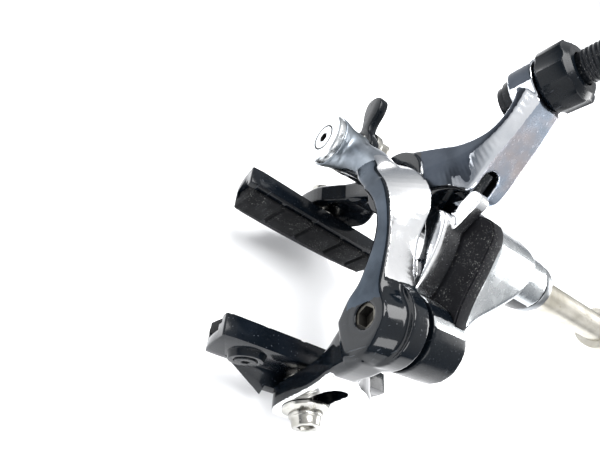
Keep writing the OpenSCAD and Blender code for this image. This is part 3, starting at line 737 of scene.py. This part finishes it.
@dataclass
class FrontArm:
    """The front arm: black arch with a polished flank, silver cam band and lower end.

    Attributes:
        front_y: Front of the arch.
        plate_back_y: Back of the arch.
        pivot: Pivot axis, as x and z.
        release: Release axis, as x and z.
        lip_inner: Inner radius of the lip over the pivot bolt's head.
        lip_outer: Its outer radius.
        lip_depth: Its thickness.
        horn_x: Where the arch's front starts to turn into the horn.
        horn_back: How far in front of the arch's back the horn's finish ends.
        pale_x: Where the horn's top and sides turn pale, as a painted reflection.
        arch_foot: Where the arch's front ends above the pivot, as x and z.
        calm_x: Where the horn's longer buffing starts.
        boss_front_y: Front of the release boss.
        boss_keep: Radius round the release axis that isn't buffed longer.
        flank_x: The flank's reach in x.
        band_x: Right end of the cam band.
        band_z: Its lower end.
        band_back_y: Its back.
        tongue_x: Least x of the lower end's outer face.
        tongue_z: Top of the lower end's outer face.
    """

    front_y: float = -46.8
    plate_back_y: float = -37.6
    pivot: tuple[float, float] = PIVOT_AT
    release: tuple[float, float] = RELEASE_AT
    lip_inner: float = 2.7
    lip_outer: float = 5.4
    lip_depth: float = 0.5
    horn_x: float = -14.0
    horn_back: float = 1.4
    pale_x: float = -20.0
    arch_foot: tuple[float, float] = (17.0, -16.0)
    calm_x: float = -13.0
    boss_front_y: float = -50.2
    boss_keep: float = 5.6
    flank_x: tuple[float, float] = (-22.0, 12.5)
    band_x: float = 13.2
    band_z: float = -14.0
    band_back_y: float = -29.8
    tongue_x: float = 27.0
    tongue_z: float = -22.0
    pieces: list[bpy.types.Object] = field(default_factory=list)

    def build(self) -> None:
        """Make the arm and its sleeve."""
        # The solid's counterbore is open to the head's full width; the real one closes to a lip.
        lip_front = self.front_y + 0.05
        lip = (*self.pivot, self.lip_inner, self.lip_outer, lip_front, lip_front + self.lip_depth)
        arm = Skin(
            "front_arm", BLACK_GLOSS, crease_deg=60, blend_mm=0.28, lip=lip, calm=self._ripple
        ).build()
        repaint(arm, SMOKED, self._front_face)
        # The horn's upper faces are paled as a painted reflection of the overhead light.
        repaint(arm, PALE_PAINTED_REFLECTION, self._horn)
        repaint(arm, POLISHED_ARCH, self._polished)
        settle_borders(arm)
        self.pieces = [arm, Skin("front_bush", BRONZE).build()]

    def _front_face(self, c: Vector, n: Vector) -> bool:
        """The machined front face of the arch and the horn.

        Args:
            c: A face's centre in millimetres.
            n: Its normal.

        Returns:
            Whether the face is meant.
        """
        if c.x < self.horn_x and c.y < self.plate_back_y - self.horn_back:
            return n.z > -0.5 or n.y < -0.6
        over_foot = c.x < self.arch_foot[0] and c.z > self.arch_foot[1]
        return n.y < -0.8 and c.y < self.front_y + 1 and over_foot

    def _ripple(self, at: Vector) -> bool:
        """The turning part of the horn, clear of its boss.

        Args:
            at: A point in millimetres.

        Returns:
            Whether it is buffed longer.
        """
        reach = math.hypot(at.x - self.release[0], at.z - self.release[1])
        between = self.boss_front_y < at.y < self.plate_back_y - 0.4
        return at.x < self.calm_x and between and reach > self.boss_keep

    def _horn(self, c: Vector, n: Vector) -> bool:
        """The sides and top of the horn that carries the release disc, paled as a painted
        reflection.
        """
        in_front = c.y < self.plate_back_y - self.horn_back
        return c.x < self.pale_x and in_front and n.z > -0.45

    def _polished(self, c: Vector, n: Vector) -> bool:
        """The flank of the arch, the cam band with its finger, and the lower end's outside.

        Args:
            c: A face's centre in millimetres.
            n: Its normal.

        Returns:
            Whether the face is meant.
        """
        flank = (
            self.flank_x[0] < c.x < self.flank_x[1]
            and self.front_y + 0.7 < c.y < self.plate_back_y + 0.1
            and n.z > 0.25
            and n.y < 0.5
        )
        behind = self.plate_back_y + 1.1 < c.y < self.band_back_y
        band = behind and c.x < self.band_x and c.z > self.band_z
        lower = c.z < self.tongue_z and n.x > 0.6 and c.x > self.tongue_x
        return flank or band or lower


@dataclass
class RearArm:
    """The rear arm: polished outside, brushed front darkened as painted shade, black lower end,
    and black painted shade on the root.

    Attributes:
        eye_z: Height where the adjuster's eye begins, which stays polished.
        boss_z: Top of the black boss.
        root_z: Top of the root of the upper arm, whose underside and far side are painted black as
            shade.
        tongue_z: Top of the lower end's outer face.
    """

    eye_z: float = 27.0
    boss_z: float = -2.0
    root_z: float = 6.6
    tongue_z: float = -22.0
    pieces: list[bpy.types.Object] = field(default_factory=list)

    def build(self) -> None:
        """Make the arm, its sleeve and the centring screw."""
        arm = Skin("rear_arm", POLISHED, crease_deg=60, blend_mm=0.22).build()
        repaint(arm, BUFFED, self._wide_face)
        # The front and inner side are painted dark grey as shade.
        repaint(arm, BRUSHED_PAINTED_SHADE, self._shaded_front)
        repaint(arm, BLACK_GLOSS, self._black)
        settle_borders(arm)
        self.pieces = [
            arm,
            Skin("rear_bush", BRONZE).build(),
            Skin("centring_screw", BLACKENED).build(),
        ]

    def _wide_face(self, c: Vector, n: Vector) -> bool:
        """The wide upper face that looks away from the front."""
        return c.z > 0 and n.x > 0.15 and n.y > -0.4

    def _shaded_front(self, c: Vector, n: Vector) -> bool:
        """The flat front and inner side of the upper arm, which get painted shade."""
        return self.boss_z < c.z < self.eye_z and (n.y < -0.93 or n.x < -0.75)

    def _black(self, c: Vector, n: Vector) -> bool:
        """The lower end and the boss, and the root's underside and far side painted black as
        shade.
        """
        lower = c.z < self.boss_z and not (c.z < self.tongue_z and n.x < -0.6)
        # Under root_z, faces looking down or away are painted black as shade.
        return lower or (c.z < self.root_z and (n.z < -0.3 or n.x > 0.4))


@dataclass
class Bracket:
    """The bracket with the spring cover and what is bolted through it.

    Attributes:
        pivot: Near pivot axis, as x and z.
        ear: Where an ear begins, as x and z.
        socket_r: Radius of a bolt's socket with its bright rim.
    """

    pivot: tuple[float, float] = PIVOT_AT
    ear: tuple[float, float] = (15.5, -2.4)
    socket_r: float = 3.1
    pieces: list[bpy.types.Object] = field(default_factory=list)

    def build(self) -> None:
        """Make the bracket, cover, spring and fixing."""
        body = Skin("bracket", SATIN, crease_deg=60, blend_mm=0.3).build()
        repaint(body, BLACK_SATIN, self._black)
        settle_borders(body)
        self.pieces = [body]
        plain = {
            "spring_cover": RESIN,
            "return_spring": WIRE,
            "centre_bolt": BLACKENED,
            "centre_washer": STAINLESS,
            "toothed_washer": GREY_STEEL,
            "sleeve_nut": AGED_NUT,
            "front_pivot_bolt": DIRTY_STEEL,
            "rear_pivot_bolt": DIRTY_STEEL,
            "front_pivot_nut": STAINLESS,
            "rear_pivot_nut": STAINLESS,
            "front_thrust_washer": BLACKENED,
            "rear_thrust_washer": BLACKENED,
        }
        for node, finish in plain.items():
            soft = 0.0 if node == "return_spring" else 0.14
            self.pieces.append(Skin(node, finish, soft).build())
        for bolt in self.pieces:
            if bolt.name.startswith(("front_pivot_bolt", "rear_pivot_bolt")):
                repaint(bolt, GRIME_AND_PAINTED_SHADE, self._darkened_recess)

    def _darkened_recess(self, c: Vector, n: Vector) -> bool:
        """The rim of a sunk head and the floor of its socket."""
        reach = math.hypot(abs(c.x) - self.pivot[0], c.z - self.pivot[1])
        return reach > self.socket_r or n.y > -0.5

    def _black(self, c: Vector, n: Vector) -> bool:
        """The underside, the rear sweep and the ears' rims."""
        ear = abs(c.x) > self.ear[0] and c.z < self.ear[1]
        return ear or n.z < 0.12


@dataclass
class Adjuster:
    """Barrel adjuster with its knob and detent ring."""

    pieces: list[bpy.types.Object] = field(default_factory=list)

    def build(self) -> None:
        """Make the adjuster."""
        self.pieces = [
            Skin("adjuster_barrel", BLACKENED, 0.1).build(),
            Skin("adjuster_knob", BLACK_SATIN, 0.35).build(),
            Skin("adjuster_detent", BLACKENED, 0.2).build(),
        ]


@dataclass
class Release:
    """Release disc and axle, lever, cable bolt and clamp.

    Attributes:
        centre: Release axis, as x and z.
        face_y: Front of the disc.
        groove_r: A radius outside the disc's groove.
        socket_depth: A little more than the depth of its socket.
    """

    centre: tuple[float, float] = RELEASE_AT
    face_y: float = -53.0
    groove_r: float = 5.0
    socket_depth: float = 1.6
    pieces: list[bpy.types.Object] = field(default_factory=list)

    def build(self) -> None:
        """Make the release."""
        disc = Skin("release_axle", SATIN, 0.12).build()
        # The disc's socket and groove are painted near black as shade.
        repaint(disc, GRIME_AND_PAINTED_SHADE, self._darkened_recess)
        self.pieces = [
            disc,
            Skin("release_lever", BLACK_SATIN, 0.3).build(),
            Skin("cable_bolt", STAINLESS, 0.2).build(),
            Skin("cable_clamp", STAINLESS, 0.15).build(),
        ]

    def _darkened_recess(self, c: Vector, n: Vector) -> bool:
        """The floors and walls of the socket and of the groove round it, painted near black as
        shade.

        Args:
            c: A face's centre in millimetres.
            n: Its normal.

        Returns:
            Whether the face is meant.
        """
        reach = math.hypot(c.x - self.centre[0], c.z - self.centre[1])
        floor = n.y < -0.9 and c.y > self.face_y + 0.1
        wall = abs(n.y) < 0.5 and reach < self.groove_r and c.y < self.face_y + self.socket_depth
        return floor or wall


@dataclass
class Shoe:
    """One shoe with its pad and hardware."""

    side: str
    pieces: list[bpy.types.Object] = field(default_factory=list)

    def build(self) -> None:
        """Make the shoe's pieces."""
        finishes = {
            "shoe": (SHOE_BLACK, 0.35),
            "pad": (RUBBER, 0.3),
            "pad_screw": (BLACKENED, 0.12),
            "pad_bolt": (STAINLESS, 0.16),
            "outer_washer": (STAINLESS, 0.16),
            "convex_washer": (STAINLESS, 0.1),
            "concave_washer": (STAINLESS, 0.1),
        }
        for piece, (finish, soft) in finishes.items():
            self.pieces.append(Skin(f"{self.side}_{piece}", finish, soft).build())


@dataclass
class Studio:
    """Pale floor, soft light and the camera at the photograph's angle."""

    floor_m: float = 6.0
    frame_px: float = 600.0
    sensor_mm: float = 36.0

    def build(self, low_z: float) -> None:
        """Make the floor, the lights, the sky and the camera.

        Args:
            low_z: Lowest point of the brake, in metres.
        """
        self._floor(low_z)
        self._sky()
        self._light("key softbox", (-0.25, -0.2, 0.8), 0.6, 15.0)
        self._light("side softbox", (0.75, 0.1, 0.45), 0.45, 5.0)
        self._light("rear softbox", (-0.1, 0.8, 0.4), 0.4, 5.0)
        self._camera()

    def _floor(self, low_z: float) -> None:
        """The pale floor.

        Args:
            low_z: Lowest point of the brake, in metres.
        """
        half = self.floor_m / 2
        mesh = bpy.data.meshes.new("floor")
        z = low_z - 0.0002
        mesh.from_pydata(
            [(-half, -half, z), (half, -half, z), (half, half, z), (-half, half, z)], [],
            [(0, 1, 2, 3)],
        )
        floor = bpy.data.objects.new("floor", mesh)
        bpy.context.collection.objects.link(floor)
        material = bpy.data.materials.new("paper sweep matt")
        material.use_nodes = True
        shader = material.node_tree.nodes["Principled BSDF"]
        shader.inputs["Base Color"].default_value = srgb("#F7F8FA")
        shader.inputs["Roughness"].default_value = 0.9
        mesh.materials.append(material)
        floor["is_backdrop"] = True

    def _sky(self) -> None:
        """A sky that is bright overhead and grey at the horizon."""
        world = bpy.data.worlds.new("studio")
        bpy.context.scene.world = world
        world.use_nodes = True
        tree = world.node_tree
        tree.nodes.clear()
        place = add(tree, "ShaderNodeTexCoord").outputs["Generated"]
        parts = add(tree, "ShaderNodeSeparateXYZ", links={"Vector": place})
        ramp = add(tree, "ShaderNodeValToRGB", links={"Fac": parts.outputs["Z"]})
        ramp.color_ramp.elements[0].position = 0.0
        ramp.color_ramp.elements[0].color = (0.16, 0.18, 0.21, 1)
        ramp.color_ramp.elements[1].position = 0.6
        ramp.color_ramp.elements[1].color = (1, 1, 1, 1)
        back = add(
            tree, "ShaderNodeBackground", {"Strength": 1.0}, {"Color": ramp.outputs["Color"]}
        )
        add(tree, "ShaderNodeOutputWorld", links={"Surface": back.outputs["Background"]})

    def _light(self, name: str, at: tuple[float, float, float], size: float, power: float) -> None:
        """A square softbox that looks at the brake.

        Args:
            name: Its name.
            at: Its place in metres.
            size: Its side in metres.
            power: Its power in watts.
        """
        data = bpy.data.lights.new(name, "AREA")
        data.size = size
        data.energy = power
        lamp = bpy.data.objects.new(name, data)
        lamp.location = at
        lamp.rotation_euler = (-Vector(at)).to_track_quat("-Z", "Y").to_euler()
        bpy.context.collection.objects.link(lamp)

    def _camera(self) -> None:
        """The camera, from the photograph's solved view."""
        data = bpy.data.cameras.new("photograph")
        data.sensor_width = self.sensor_mm
        data.lens = CAMERA_FOCAL_PX / self.frame_px * self.sensor_mm
        data.clip_start = 0.005
        right, down, ahead = (Vector(row) for row in CAMERA_ROWS)
        turn = Matrix((right, -down, -ahead)).transposed()
        camera = bpy.data.objects.new("photograph", data)
        camera.matrix_world = Matrix.Translation(Vector(CAMERA_AT) * MM) @ turn.to_4x4()
        bpy.context.collection.objects.link(camera)
        bpy.context.scene.camera = camera
        bpy.context.scene.view_settings.view_transform = "Standard"


def plain(box: object) -> list[list[float]]:
    """A box as lists of numbers.

    Args:
        box: Two corners.

    Returns:
        The same corners, as plain lists.
    """
    return [[float(v) for v in corner] for corner in box]


def main() -> None:
    """Build every sub-assembly in order, then the studio, whose floor lies under the CAD parts'
    lowest point.
    """
    logging.basicConfig(level=logging.INFO, format="%(name)s: %(message)s")
    cad_box = plain(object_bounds())
    for group in (FrontArm(), RearArm(), Bracket(), Adjuster(), Release(), Shoe("near"),
                  Shoe("far")):
        group.build()
        log.info("%s: %d pieces", type(group).__name__, len(group.pieces))
    Studio().build(cad_box[0][2])


if __name__ == "__main__":
    main()
